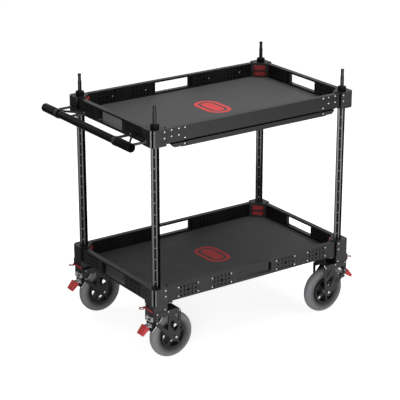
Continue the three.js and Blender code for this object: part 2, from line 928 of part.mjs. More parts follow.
function brakePedal() {
  const tilt = shoeTiltDegrees * degree;
  const off = wheelRadius + shoeGap;
  const along = [Math.cos(tilt), Math.sin(tilt)];
  const out = [-Math.sin(tilt), Math.cos(tilt)];
  const shoePoint = (s, n) => [
    wheelTrail + out[0] * (off + n) + along[0] * s,
    wheelRadius + out[1] * (off + n) + along[1] * s,
  ];
  const shoeTop = shoeLength - shoeLead - shoeLipReach;
  const shoe = [
    shoePoint(-shoeLength + shoeTop, 0),
    shoePoint(shoeTop, 0),
    shoePoint(shoeTop, shoeThickness),
    shoePoint(-shoeLength + shoeTop, shoeThickness),
  ];
  const lipStart = -shoeLength + shoeTop;
  const lip = [
    shoePoint(lipStart, shoeThickness),
    shoePoint(lipStart, -shoeLipReach),
    shoePoint(lipStart + shoeThickness, -shoeLipReach),
    shoePoint(lipStart + shoeThickness, shoeThickness),
  ];
  const padTilt = padTiltDegrees * degree;
  const padHalf = pedalPadLength / 2;
  const pad = alongY(
    [
      [-padHalf, -pedalPadTip / 2],
      [padHalf, -pedalPadRoot / 2],
      [padHalf, pedalPadRoot / 2],
      [-padHalf, pedalPadTip / 2],
    ],
    -pedalPadWidth / 2,
    pedalPadWidth / 2,
  );
  pad.rotateY(-padTilt).translate(-pedalPadX, 0, pedalPadZ);
  const armEndX = -pedalPadX + (pedalPadLength / 2) * Math.cos(padTilt);
  const armEndZ = pedalPadZ + (pedalPadLength / 2) * Math.sin(padTilt);
  const armHalf = pedalArmThickness / 2;
  const arm = [
    [-pedalPinX, pedalPinZ - armHalf],
    [-pedalPinX, pedalPinZ + armHalf],
    [armEndX, armEndZ + armHalf],
    [armEndX - armHalf, armEndZ],
    [armEndX, armEndZ - armHalf],
  ];
  const body = joined(
    crossRod(
      pedalBarrelRadius,
      -pedalPinX,
      pedalPinZ,
      -pedalBarrelWidth / 2,
      pedalBarrelWidth / 2,
      smallSteps,
    ),
    alongY(arm, -pedalArmWidth / 2, pedalArmWidth / 2),
    pad,
    alongY(shoe, -shoeWidth / 2, shoeWidth / 2),
    alongY(lip, -shoeLipWidth / 2, shoeLipWidth / 2),
  );
  return cutFrom(
    body,
    crossRod(pedalPinRadius + slip, -pedalPinX, pedalPinZ, -forkWidth, forkWidth, smallSteps),
  );
}

function releasePull() {
  const low = forkHeight + pullBladeRise;
  const high = low + pullBladeHeight;
  const bladeInner = -(socketReach + seat);
  const bladeOuter = bladeInner - pullBladeThickness;
  const ringHigh = high;
  const ringLow = high - pullRingThickness;
  const body = joined(
    block(bladeOuter, bladeInner, -pullBladeShort, pullBladeLong, low, high),
    uprightRod(pullRingRadius, -pullRingX, pullRingY, ringLow, ringHigh),
    block(
      -pullRingX,
      bladeInner,
      pullRingY - pullNeckWidth / 2,
      pullRingY + pullNeckWidth / 2,
      ringLow,
      ringHigh,
    ),
  );
  const hole = uprightRod(pullRingHole, -pullRingX, pullRingY, ringLow - seat, ringHigh + seat);
  return cutFrom(body, hole);
}

for (const place of places) {
  const caster = new THREE.Group();
  caster.position.set(place.sideX * postX, place.sideY * (postY - casterInset), 0);
  caster.rotation.z = place.sideX > 0 ? Math.PI : 0;
  addPiece(caster, `fork_${place.name}`, fork(), darkSteel());
  addPiece(caster, `tyre_${place.name}`, tyre(), tyreRubber());
  const turnShare = place.sideX > 0 ? rightHubTurnShare : leftHubTurnShare;
  addPiece(caster, `hub_${place.name}`, hub(turnShare), hubPlastic());
  addPiece(caster, `brake_pedal_${place.name}`, brakePedal(), redPart());
  addPiece(caster, `release_pull_${place.name}`, releasePull(), redPart());
  cart.add(caster);
}

// The origin lies on the ground under the middle of the whole cart
const reach = new THREE.Box3().setFromObject(cart, true);
cart.position.x = -(reach.min.x + reach.max.x) / 2;

export default cart;
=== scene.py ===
import math

import bmesh
import bpy
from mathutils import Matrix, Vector


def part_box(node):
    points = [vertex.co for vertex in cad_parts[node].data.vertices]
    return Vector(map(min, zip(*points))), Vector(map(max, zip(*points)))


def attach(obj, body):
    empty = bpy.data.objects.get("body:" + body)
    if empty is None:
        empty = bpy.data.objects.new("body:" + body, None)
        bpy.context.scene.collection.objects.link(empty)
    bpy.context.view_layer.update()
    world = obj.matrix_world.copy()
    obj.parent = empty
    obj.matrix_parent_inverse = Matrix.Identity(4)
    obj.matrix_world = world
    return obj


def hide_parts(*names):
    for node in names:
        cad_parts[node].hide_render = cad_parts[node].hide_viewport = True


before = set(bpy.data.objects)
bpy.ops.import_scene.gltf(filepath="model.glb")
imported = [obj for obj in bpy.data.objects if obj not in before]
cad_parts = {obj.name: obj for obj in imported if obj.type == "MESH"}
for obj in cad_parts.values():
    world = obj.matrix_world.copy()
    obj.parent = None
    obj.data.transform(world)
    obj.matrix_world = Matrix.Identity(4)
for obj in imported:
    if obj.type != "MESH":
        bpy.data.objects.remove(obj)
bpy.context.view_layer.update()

# The cart is measured in millimetres from the point on the ground between its four posts.
# The frame's own zero lies a little towards the push handle, and is in metres.
post_x = 482.5
post_y = 290.8
left_post = sum(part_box("post_front_left"), Vector()) / 2
right_post = sum(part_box("post_front_right"), Vector()) / 2
frame_shift = (left_post.x + right_post.x) / 2 * 1000


def in_frame(x, y, z):
    return Vector(((x + frame_shift) / 1000, y / 1000, z / 1000))


# Studio: a wide white paper floor under soft light from all round, and four soft lamps.
# The camera stands off the corner by the push handle, twenty degrees above the level.
camera = bpy.data.objects.new("camera", bpy.data.cameras.new("camera"))
camera.data.sensor_width = 36
camera.data.lens = 138.94
camera.data.clip_end = 200
camera.location = in_frame(-3685.6, -5210.9, 2850.5)
camera.rotation_euler = (math.radians(69.999), 0, math.radians(-34.826))
bpy.context.scene.collection.objects.link(camera)
bpy.context.scene.camera = camera
bpy.context.scene.view_settings.view_transform = "Standard"


def linear(hex_colour):
    channels = [int(hex_colour[i : i + 2], 16) / 255 for i in (1, 3, 5)]
    curve = [c / 12.92 if c <= 0.04045 else ((c + 0.055) / 1.055) ** 2.4 for c in channels]
    return (*curve, 1)


def node(tree, kind, inputs=None, **settings):
    made = tree.nodes.new("ShaderNode" + kind)
    for name, value in settings.items():
        setattr(made, name, value)
    for name, value in (inputs or {}).items():
        if isinstance(value, bpy.types.NodeSocket):
            tree.links.new(value, made.inputs[name])
        else:
            made.inputs[name].default_value = value
    return made


def rays(tree):
    """Whether a ray comes straight from the camera, and whether it comes off a mirroring or clear face."""
    path = node(tree, "LightPath").outputs
    bounced = node(tree, "Math", {0: path["Is Glossy Ray"], 1: path["Is Transmission Ray"]},
                   operation="MAXIMUM")
    return path["Is Camera Ray"], bounced.outputs[0]


# The air is plain white behind the cart. Faces mirror it dimmer the higher they look, and it lights weakly.
world = bpy.data.worlds.new("studio")
world.use_nodes = True
bpy.context.scene.world = world
air = world.node_tree
air.nodes.clear()
straight, bounced = rays(air)
seen = node(air, "Math", {0: straight, 1: bounced}, operation="MAXIMUM")
towards = node(air, "SeparateXYZ", {0: node(air, "TexCoord").outputs["Generated"]})
fading = node(air, "MapRange", {"Value": towards.outputs["Z"], "From Min": 0.04, "From Max": 0.4,
                                "To Min": 1.0, "To Max": 0.35})
room_light = node(air, "Background", {"Color": linear("#ffffff"), "Strength": 0.2})
whiteness = node(air, "Math", {0: straight, 1: fading.outputs[0]}, operation="MAXIMUM")
room_white = node(air, "Background", {"Color": linear("#ffffff"), "Strength": whiteness.outputs[0]})
room = node(air, "MixShader", {0: seen.outputs[0], 1: room_light.outputs[0], 2: room_white.outputs[0]})
node(air, "OutputWorld", {"Surface": room.outputs[0]})

# The paper is lifted to white where it is seen straight. Of what faces mirror, it is brightest in front
# of the cart and to its left, so faces that mirror other parts of it are darker.
paper = bpy.data.materials.new("white_paper")
paper.use_nodes = True
sheet = paper.node_tree
fibre = node(sheet, "TexNoise", {"Vector": node(sheet, "TexCoord").outputs["Object"], "Scale": 3.0})
paper_tone = node(sheet, "Mix", {"Factor": fibre.outputs["Fac"], "A": linear("#fbfbfb"),
                                 "B": linear("#ffffff")}, data_type="RGBA")
straight, bounced = rays(sheet)
paper_seen = node(sheet, "Mix", {"Factor": bounced, "A": paper_tone.outputs["Result"],
                                 "B": linear("#a0a0a0")}, data_type="RGBA")
paper_shader = sheet.nodes["Principled BSDF"]
sheet.links.new(paper_seen.outputs["Result"], paper_shader.inputs["Base Color"])
paper_shader.inputs["Roughness"].default_value = 1.0
paper_shader.inputs["Specular IOR Level"].default_value = 0.0
spot = node(sheet, "SeparateXYZ", {0: node(sheet, "TexCoord").outputs["Object"]}).outputs
to_front = node(sheet, "MapRange", {"Value": spot["Y"], "From Min": 0.5, "From Max": -2.4,
                                    "To Min": 0.0, "To Max": 1.38})
to_left = node(sheet, "MapRange", {"Value": spot["X"], "From Min": 2.6, "From Max": 0.65,
                                   "To Min": 0.25, "To Max": 1.68})
mirrored_white = node(sheet, "Math", {0: to_front.outputs[0], 1: to_left.outputs[0]}, operation="MULTIPLY")
straight_lift = 0.8
seen_white = node(sheet, "Math", {0: straight, 1: straight_lift}, operation="MULTIPLY")
glow = node(sheet, "Math", {0: bounced, 1: mirrored_white.outputs[0], 2: seen_white.outputs[0]},
            operation="MULTIPLY_ADD")
white = node(sheet, "Emission", {"Color": linear("#ffffff"), "Strength": glow.outputs[0]})
lit = node(sheet, "AddShader", {0: paper_shader.outputs[0], 1: white.outputs[0]})
sheet.links.new(lit.outputs[0], sheet.nodes["Material Output"].inputs["Surface"])
floor_reach = 40
floor_mesh = bpy.data.meshes.new("studio_floor")
floor_corners = [(x * floor_reach, y * floor_reach, 0) for x, y in ((-1, -1), (1, -1), (1, 1), (-1, 1))]
floor_mesh.from_pydata(floor_corners, [], [(0, 1, 2, 3)])
floor_mesh.materials.append(paper)
studio_floor = bpy.data.objects.new("studio_floor", floor_mesh)
bpy.context.scene.collection.objects.link(studio_floor)

# Each lamp has its place in millimetres, its side in metres and its power in watts.
lamp_aim = in_frame(0, 0, 600)
for lamp_name, lamp_place, lamp_size, lamp_power in (
    ("soft_lamp_above", (900, -300, 3300), 2.2, 50),
    ("soft_lamp_left", (-2450, -2750, 1000), 1.3, 35),
    ("soft_lamp_right", (2500, -3300, 900), 1.3, 6),
    ("soft_lamp_behind", (-1300, 3000, 2700), 0.8, 4),
):
    lamp = bpy.data.lights.new(lamp_name, "AREA")
    lamp.size = lamp_size
    lamp.energy = lamp_power
    lamp_object = bpy.data.objects.new(lamp_name, lamp)
    lamp_object.location = in_frame(*lamp_place)
    towards_cart = lamp_aim - lamp_object.location
    lamp_object.rotation_euler = towards_cart.to_track_quat("-Z", "Y").to_euler()
    bpy.context.scene.collection.objects.link(lamp_object)


# Tray floors: folded aluminium sheet, powder coated dark grey with a fine orange-peel surface.
# They lie on the ledges of the rails. A plain red ring round a solid red oval is printed on each.
def finish(name, tones, roughness, metallic=0.0, patch=120.0, grain=1.2, depth=0.05, stretch=(1, 1, 1),
           sheen=0.5):
    """tones: two hex colours that drift over patches of so many millimetres. grain and depth: the fine
    surface, in millimetres. stretch: how far the grain is drawn out along X, Y and Z. sheen: how strongly
    it mirrors, 0.5 for a bare plastic or paint."""
    made = bpy.data.materials.new(name)
    made.use_nodes = True
    tree = made.node_tree
    place = node(tree, "TexCoord").outputs["Object"]
    drift = node(tree, "TexNoise", {"Vector": place, "Scale": 1000 / patch, "Detail": 3.0})
    tone = node(tree, "Mix", {"Factor": drift.outputs["Fac"], "A": linear(tones[0]), "B": linear(tones[1])},
                data_type="RGBA")
    gloss = node(tree, "MapRange", {"Value": drift.outputs["Fac"], "From Min": 0.3, "From Max": 0.7,
                                    "To Min": roughness[0], "To Max": roughness[1]})
    drawn = node(tree, "VectorMath", {0: place, 1: tuple(1 / s for s in stretch)}, operation="MULTIPLY")
    fine = node(tree, "TexNoise", {"Vector": drawn.outputs[0], "Scale": 1000 / grain, "Detail": 2.0})
    relief = node(tree, "Bump", {"Height": fine.outputs["Fac"], "Distance": depth / 1000, "Strength": 0.6})
    shader = tree.nodes["Principled BSDF"]
    shader.inputs["Metallic"].default_value = metallic
    shader.inputs["Specular IOR Level"].default_value = sheen
    tree.links.new(tone.outputs["Result"], shader.inputs["Base Color"])
    tree.links.new(gloss.outputs[0], shader.inputs["Roughness"])
    tree.links.new(relief.outputs[0], shader.inputs["Normal"])
    return made


powder_coat_grey = finish("powder_coat_grey", ("#4b4c4d", "#545556"), (0.56, 0.68), grain=1.6, depth=0.08)
for floor_name in ("top_floor", "lower_floor"):
    floor_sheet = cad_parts[floor_name]
    floor_sheet.data.materials.clear()
    floor_sheet.data.materials.append(powder_coat_grey)


def prism(shape, outline, start, end, axis="z", look=0):
    """A closed outline carried from start to end: in x, y along z, in x, z along y or in y, z along x."""
    order = {"z": (0, 1, 2), "y": (0, 2, 1), "x": (2, 0, 1)}[axis]
    rings = []
    for carried in (start, end):
        points = [(a, b, carried) for a, b in outline]
        rings.append([shape.verts.new([p[i] for i in order]) for p in points])
    low, high = rings
    faces = [shape.faces.new(low[::-1]), shape.faces.new(high)]
    for i in range(len(low)):
        j = (i + 1) % len(low)
        faces.append(shape.faces.new((low[i], low[j], high[j], high[i])))
    for face in faces:
        face.material_index = look


def turned(shape, profile, centre, axis, steps, look=0, closed=False):
    """A profile of (radius, distance along the axis) points, turned about the axis through centre."""
    along = Vector(axis).normalized()
    side = along.orthogonal().normalized()
    other = along.cross(side)
    rings = []
    for radius, far in profile:
        middle = Vector(centre) + along * far
        count = steps if radius > 0 else 1
        angles = [2 * math.pi * (k + 0.5) / steps for k in range(count)]
        rings.append([shape.verts.new(middle + (side * math.cos(a) + other * math.sin(a)) * radius)
                      for a in angles])
    pairs = list(zip(rings, rings[1:]))
    if closed:
        pairs.append((rings[-1], rings[0]))
    for near, far in pairs:
        for k in range(steps):
            n = (k + 1) % steps
            corners = [near[k % len(near)], near[n % len(near)], far[n % len(far)], far[k % len(far)]]
            kept = [c for i, c in enumerate(corners) if c not in corners[:i]]
            if len(kept) > 2:
                shape.faces.new(kept).material_index = look


def finished(name, shape, looks, body, replaced=(), bevel=0.0, rounds=2):
    """Closes a shape that is drawn in millimetres, gives it its finishes and puts it on its body."""
    for corner in shape.verts:
        corner.co = in_frame(*corner.co)
    bmesh.ops.recalc_face_normals(shape, faces=shape.faces)
    for face in shape.faces:
        face.smooth = True
    mesh = bpy.data.meshes.new(name)
    shape.to_mesh(mesh)
    shape.free()
    for look in looks:
        mesh.materials.append(look)
    mesh.set_sharp_from_angle(angle=math.radians(35))
    made = bpy.data.objects.new(name, mesh)
    bpy.context.scene.collection.objects.link(made)
    if bevel:
        edge = made.modifiers.new("worn_edges", "BEVEL")
        edge.width = bevel / 1000
        edge.segments = rounds
        edge.limit_method = "ANGLE"
        edge.angle_limit = math.radians(40)
        edge.use_clamp_overlap = True
        edge.harden_normals = True
    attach(made, body)
    if replaced:
        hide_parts(*replaced)


red_ink_top = finish("screen_print_red", ("#ee4a4a", "#f25252"), (0.5, 0.6), grain=2, depth=0.02)
# Painted shade: the mark on the lower floor is printed in a darker copy of the same red, for the shade under
# the top tray.
red_ink_lower_painted_shade = finish("screen_print_red_lower_painted_shade", ("#e23c3e", "#e64244"), (0.5, 0.6), grain=2, depth=0.02)
mark_x, mark_y, mark_lift, mark_rise, mark_steps = 7, 2, 0.05, 0.15, 48
ring_half, ring_round, ring_width = 97, 58, 18
oval_across_share, oval_along_share = 0.72, 0.86
for level, floor_top, ink in (("top", 953.0, red_ink_top), ("lower", 268.6, red_ink_lower_painted_shade)):
    mark = bmesh.new()
    outer, inner = [], []
    for k in range(mark_steps):
        angle = 2 * math.pi * (k + 0.5) / mark_steps
        reach = (ring_half - ring_round) * (1 if math.sin(angle) > 0 else -1)
        for points, radius in ((outer, ring_round), (inner, ring_round - ring_width)):
            points.append((mark_x + radius * math.cos(angle), mark_y + reach + radius * math.sin(angle)))
    low, high = floor_top + mark_lift, floor_top + mark_rise
    loops = [[mark.verts.new((x, y, z)) for x, y in points] for points, z in
             ((outer, low), (outer, high), (inner, high), (inner, low))]
    for a, b in zip(loops, loops[1:] + loops[:1]):
        for k in range(mark_steps):
            n = (k + 1) % mark_steps
            mark.faces.new((a[k], a[n], b[n], b[k]))
    oval = [(mark_x + oval_across_share * (x - mark_x), mark_y + oval_along_share * (y - mark_y))
            for x, y in inner]
    prism(mark, oval, low, high)
    finished(f"floor_mark_{level}", mark, [ink], "top_tray" if level == "top" else "frame")


# Rails: thick aluminium extrusions, sawn to length, bead blasted and anodised black, with a hand hole
# milled through and closed at its ends by black moulded bezels. Perforated steel plates lie flush in
# pockets beside the holes under button-head screws. The upper front rail is plain, with six at each end.
weld_reach = 0.01
flat_angle = math.radians(0.5)


def solid_of(node_name):
    """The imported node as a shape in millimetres, with its flat faces whole again."""
    shape = bmesh.new()
    shape.from_mesh(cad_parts[node_name].data)
    for corner in shape.verts:
        corner.co = Vector((corner.co.x * 1000 - frame_shift, corner.co.y * 1000, corner.co.z * 1000))
    bmesh.ops.remove_doubles(shape, verts=shape.verts, dist=weld_reach)
    bmesh.ops.dissolve_limit(shape, angle_limit=flat_angle, verts=shape.verts, edges=shape.edges)
    for face in shape.faces:
        face.material_index = 0
    return shape


def milled(shape, cutter):
    """The shape with the cutter's closed forms taken out of it. Both are in millimetres."""
    bmesh.ops.recalc_face_normals(cutter, faces=cutter.faces)
    blanks = []
    for name, form in (("blank", shape), ("cutter", cutter)):
        mesh = bpy.data.meshes.new(name)
        form.to_mesh(mesh)
        form.free()
        blanks.append(bpy.data.objects.new(name, mesh))
        bpy.context.scene.collection.objects.link(blanks[-1])
    blank, tool = blanks
    cut = blank.modifiers.new("cut", "BOOLEAN")
    cut.operation = "DIFFERENCE"
    cut.solver = "EXACT"
    cut.object = tool
    result = bmesh.new()
    result.from_object(blank, bpy.context.evaluated_depsgraph_get())
    for done in blanks:
        old = done.data
        bpy.data.objects.remove(done)
        bpy.data.meshes.remove(old)
    bmesh.ops.dissolve_limit(result, angle_limit=flat_angle, verts=result.verts, edges=result.edges)
    return result


def button_screw(shape, place, axis, radius, look=1):
    """A button head with a recessed socket, sunk a little into the face that it holds."""
    sunk = -0.3
    profile = [(0, sunk), (radius, sunk), (radius, radius * 0.22), (radius * 0.82, radius * 0.42),
               (radius * 0.5, radius * 0.5), (radius * 0.42, radius * 0.12), (0, radius * 0.12)]
    turned(shape, profile, place, axis, steps=16, look=look)


def perforated_plate(shape, middle, along, out, pattern, size):
    """A thin plate, upright, with its outer face towards out. pattern has a letter for each column of
    holes: o for three holes, i for five with two of them small, c for three with a wide one in the middle."""
    thick, column, reach, steps = 1.2, 19.3, 23.7, 16
    third, far, near = 12, 14.2, 4.7
    row, small_row = 18.9, 9.45
    thirds = ((-reach, -third), (-third, third), (third, reach))
    rows = {"o": thirds, "c": thirds,
            "i": ((-reach, -far), (-far, -near), (-near, near), (near, far), (far, reach))}
    # Each hole has its height on the plate and its radius.
    holes = {"o": ((-row, 4.5), (0, 4.5), (row, 4.5)), "c": ((-row, 4.3), (0, 7.0), (row, 4.3)),
             "i": ((-row, 4.1), (-small_row, 2.2), (0, 4.1), (small_row, 2.2), (row, 4.1))}
    up = Vector((0, 0, 1))
    middle, along, out = Vector(middle), Vector(along), Vector(out)
    part = bmesh.new()

    def at(a, b, c=0.0):
        return middle + along * a + up * b + out * c

    for i, kind in enumerate(pattern):
        centre_a = (i - (len(pattern) - 1) / 2) * column
        for (low, high), (centre_b, radius) in zip(rows[kind], holes[kind]):
            ring, edge = [], []
            for k in range(steps):
                angle = 2 * math.pi * k / steps
                c, s = math.cos(angle), math.sin(angle)
                stretch = 1 / max(abs(c), abs(s))
                room_a = column / 2
                room_b = high - centre_b if s > 0 else centre_b - low
                ring.append(part.verts.new(at(centre_a + radius * c, centre_b + radius * s)))
                far_a, far_b = centre_a + room_a * c * stretch, centre_b + room_b * s * stretch
                edge.append(part.verts.new(at(far_a, far_b)))
            for k in range(steps):
                n = (k + 1) % steps
                part.faces.new((ring[k], edge[k], edge[n], ring[n]))
    bmesh.ops.remove_doubles(part, verts=part.verts, dist=weld_reach)
    bmesh.ops.solidify(part, geom=part.faces[:], thickness=thick)
    bmesh.ops.recalc_face_normals(part, faces=part.faces)
    grid = len(pattern) * column / 2
    half_a, half_b = size[0] / 2, size[1] / 2
    for a0, a1, b0, b1 in ((-half_a, half_a, reach, half_b), (-half_a, half_a, -half_b, -reach),
                           (-half_a, -grid, -reach, reach), (grid, half_a, -reach, reach)):
        corners = [part.verts.new(at(a, b, c)) for c in (0, -thick)
                   for a, b in ((a0, b0), (a1, b0), (a1, b1), (a0, b1))]
        for face in ((0, 1, 2, 3), (7, 6, 5, 4), (0, 4, 5, 1), (1, 5, 6, 2), (2, 6, 7, 3), (3, 7, 4, 0)):
            part.faces.new([corners[k] for k in face])
    kept = bpy.data.meshes.new("plate")
    part.to_mesh(kept)
    part.free()
    shape.from_mesh(kept)
    bpy.data.meshes.remove(kept)


def box(shape, low, high, look):
    prism(shape, [(low[0], low[1]), (high[0], low[1]), (high[0], high[1]), (low[0], high[1])],
          low[2], high[2], look=look)


def side_frame(side):
    """Where a rail lies: its run, its outward direction and how far the post axes stand out that way."""
    return {"front": (Vector((1, 0, 0)), Vector((0, -1, 0)), post_y),
            "back": (Vector((1, 0, 0)), Vector((0, 1, 0)), post_y),
            "left": (Vector((0, 1, 0)), Vector((-1, 0, 0)), post_x),
            "right": (Vector((0, 1, 0)), Vector((1, 0, 0)), post_x)}[side]


def span(shape, run, out, low, high, look=0):
    """A box given by its least and greatest place along the rail, outwards and up."""
    a = run * low[0] + out * low[1] + Vector((0, 0, low[2]))
    b = run * high[0] + out * high[1] + Vector((0, 0, high[2]))
    box(shape, [min(p, q) for p, q in zip(a, b)], [max(p, q) for p, q in zip(a, b)], look)


black_anodised = finish("black_anodised_aluminium", ("#0b0b0c", "#0f0f10"), (0.3, 0.38), grain=0.9, depth=0.03,
                        sheen=0.42)
zinc_screw = finish("bright_zinc_screw", ("#c9cbcd", "#dadcde"), (0.25, 0.35), metallic=1.0, patch=6, grain=0.6,
                    depth=0.01)
# Painted shade: a dark copy of the zinc screws, for the screws on the faces that lie in shade.
shaded_zinc_screw = finish("zinc_screw_painted_shade", ("#2a2b2c", "#343536"), (0.3, 0.4), metallic=0.8, patch=6, grain=0.6,
                     depth=0.01)
# This black is the own colour of the bezels, knobs and groove strips, and painted shade on the floors of the
# rail pockets.
moulded_black_and_painted_shade = finish("moulded_black_nylon_and_painted_shade", ("#070708", "#0b0b0c"), (0.5, 0.6), grain=0.8, depth=0.04,
                       sheen=0.12)
rail_out, rail_in, rail_middle = 29.5, 7.5, 32.0
long_rail_plates = ((-341.7, -170.4, 170.4, 341.7), (118.0, 58.0), "oicio")
end_rail_plates = ((-168.0, 168.0), (100.0, 58.0), "oiio")
pocket_depth, pocket_play, pocket_overrun, plate_sunk = 4.0, 0.4, 1, 0.2
plate_screw_in, plate_screw_up, lone_screw_along = 9.5, 19.4, 26
plain_head, plate_head, lone_head = 3.4, 3.3, 2.6
plain_rail_screws = ((422, 58.0), (422, 31.0), (386, 58.0), (386, 31.0), (356.5, 57.5), (356.5, 14.5))
bezel_near, bezel_far, bezel_play = 92.6, 105.0, 0.4
bezel_inner, bezel_outer, bezel_low, bezel_high = 0.6, 8.6, 11.6, 55.9
for level, low in (("lower", 266.1), ("top", 950.5)):
    for side in ("front", "back", "left", "right"):
        run, out, post = side_frame(side)
        middle_z = low + rail_middle
        shape = solid_of(f"{level}_rail_{side}")
        if level == "top" and side == "front":
            for way in (-1, 1):
                for along, up in plain_rail_screws:
                    button_screw(shape, (way * along, -(post_y + rail_out), low + up), (0, -1, 0),
                                 plain_head)
        else:
            places, size, pattern = long_rail_plates if side in ("front", "back") else end_rail_plates
            plates = [(place, face, way) for place in places for face, way in ((rail_out, 1), (rail_in, -1))]
            half_long, half_tall = size[0] / 2, size[1] / 2
            pockets = bmesh.new()
            for place, face, way in plates:
                span(pockets, run, out,
                     (place - half_long - pocket_play, post + face - way * pocket_depth,
                      middle_z - half_tall - pocket_play),
                     (place + half_long + pocket_play, post + face + way * pocket_overrun,
                      middle_z + half_tall + pocket_play))
            shape = milled(shape, pockets)
            # Painted shade: the floors of the pockets are given the black, so that the holes of the plates look
            # deep.
            for face in shape.faces:
                from_middle = abs(face.calc_center_median().dot(out) - post - (rail_out + rail_in) / 2)
                past_pocket = abs(from_middle - (rail_out - rail_in) / 2 + pocket_depth)
                if past_pocket < 0.2 and abs(face.normal.dot(out)) > 0.9:
                    face.material_index = 3
            for place, face, way in plates:
                middle = run * place + out * (post + face - way * plate_sunk) + Vector((0, 0, middle_z))
                perforated_plate(shape, middle, run, out * way, pattern, size)
                for a in (-half_long + plate_screw_in, half_long - plate_screw_in):
                    for b in (-plate_screw_up, plate_screw_up):
                        # Screws on the outer front face are bright zinc. The rest take the dark copy, which is
                        # painted shade.
                        button_screw(shape, middle + run * a + Vector((0, 0, b)), out * way, plate_head,
                                     look=1 if side == "front" and way > 0 else 2)
                if way < 0 and (side == "front" or (side == "back" and level == "top")):
                    button_screw(shape, middle + run * lone_screw_along, out * way, lone_head)
            # Moulded bezels line the two ends of the hand hole on the inner side.
            for way in (-1, 1):
                a, b = sorted((way * bezel_near, way * bezel_far))
                span(shape, run, out, (a + bezel_play, post + rail_in + bezel_inner, low + bezel_low),
                     (b - bezel_play, post + rail_in + bezel_outer, low + bezel_high), look=3)
        finished(f"{level}_rail_{side}_made", shape, [black_anodised, zinc_screw, shaded_zinc_screw, moulded_black_and_painted_shade],
                 "top_tray" if level == "top" else "frame", [f"{level}_rail_{side}"],
                 bevel=0.7)


# Corner castings: die-cast aluminium, painted satin black. Each clamps round a post with a slotted
# nose that a rubber strip closes, and pairs of screws hold the ends of the rails. The flat faces across
# the noses carry a painted highlight in light grey, for the light that their rounded edges catch. The lower
# ones carry the caster sockets.
corner_black = finish("satin_black_casting", ("#101011", "#161617"), (0.34, 0.44), grain=1.4, depth=0.06)
nose_painted_highlight = finish("casting_nose_painted_highlight", ("#707173", "#7f8082"), (0.3, 0.4), grain=1.4,
                     depth=0.04)
# This matt black is the own colour of the nose strips, posts and bar discs, and painted shade inside the
# notches of the racks.
matt_black_and_painted_shade = finish("matt_black_rubber_and_painted_shade", ("#0b0b0c", "#121213"), (0.6, 0.7), grain=0.8, depth=0.03, sheen=0.0)
corner_places = {"front_left": (-1, -1), "front_right": (1, -1), "back_left": (-1, 1), "back_right": (1, 1)}
corner_reach, rail_screw_in, rail_screw_levels, rail_head = 38.0, 21.5, (34.4, 60.9), 3.5
# Each socket screw: how far it lies inside the post's axis and in front of it, its height and its radius.
socket_screws = ((20, 35, 238, 3.2), (50, 25, 258.8, 2.2))
strip_inner, strip_outer, strip_half = 42.6, 43.9, 4.2
for level, low in (("lower", 262.6), ("top", 947.0)):
    for place, (side_x, side_y) in corner_places.items():
        shape = solid_of(f"{level}_corner_{place}")
        for up in rail_screw_levels:
            button_screw(shape, (side_x * (post_x - rail_screw_in), side_y * (post_y + corner_reach), low + up),
                         (0, side_y, 0), rail_head)
            # The screws on the end faces take the dark copy of the zinc, which is painted shade.
            button_screw(shape, (side_x * (post_x + corner_reach), side_y * (post_y - rail_screw_in), low + up),
                         (side_x, 0, 0), rail_head, look=2)
        if level == "lower":
            for inward, outward, z, radius in socket_screws:
                button_screw(shape, (side_x * (post_x - inward), side_y * (post_y + outward), z),
                             (0, side_y, 0), radius)
        # Painted highlight: the faces turned straight out across the nose take the light grey.
        nose_levels = []
        for face in shape.faces:
            across_nose = (face.normal.x * side_x + face.normal.y * side_y) / math.sqrt(2)
            if across_nose > 0.98 and face.calc_center_median().x * side_x > post_x:
                face.material_index = 3
                nose_levels += [v.co.z for v in face.verts]
        strip = [(side_x * (post_x + (out + flank) / math.sqrt(2)),
                  side_y * (post_y + (out - flank) / math.sqrt(2)))
                 for out, flank in ((strip_inner, -strip_half), (strip_outer, -strip_half),
                                    (strip_outer, strip_half), (strip_inner, strip_half))]
        prism(shape, strip, min(nose_levels), max(nose_levels), look=4)
        finished(f"{level}_corner_{place}_made", shape,
                 [corner_black, zinc_screw, shaded_zinc_screw, nose_painted_highlight, matt_black_and_painted_shade],
                 "top_tray" if level == "top" else "frame", [f"{level}_corner_{place}"],
                 bevel=1.0)


# Posts: square aluminium extrusions set cornerwise. Two sides are anodised a smoky grey and two black.
# A black strip lies in the groove of each side with a light index line every forty-nine millimetres, and
# a rack of fine teeth is milled along the two corners that face the ends of the cart. The walls inside
# its notches are matt black, painted shade that makes the teeth read deep.
smoke_anodised = finish("smoke_anodised_post", ("#585858", "#656565"), (0.24, 0.34), metallic=1.0, grain=0.5,
                        depth=0.02, stretch=(1, 1, 60))
index_line = finish("index_line_print", ("#b4b6b8", "#c2c4c6"), (0.4, 0.5), patch=10, grain=1.0, depth=0.01)
post_half, groove_half, groove_deep, groove_edge, edge_cut = 15.6, 4.4, 5.2, 0.6, 2.5
tooth_pitch, tooth_gap, tooth_reach = 8.2, 4.1, 18.2
post_low, post_high = 262.9, 1018.5
line_first, line_pitch, line_count, line_tall = 360, 49.0, 13, 2.4
line_half, line_sunk, line_below = 3.2, 0.2, 3.6


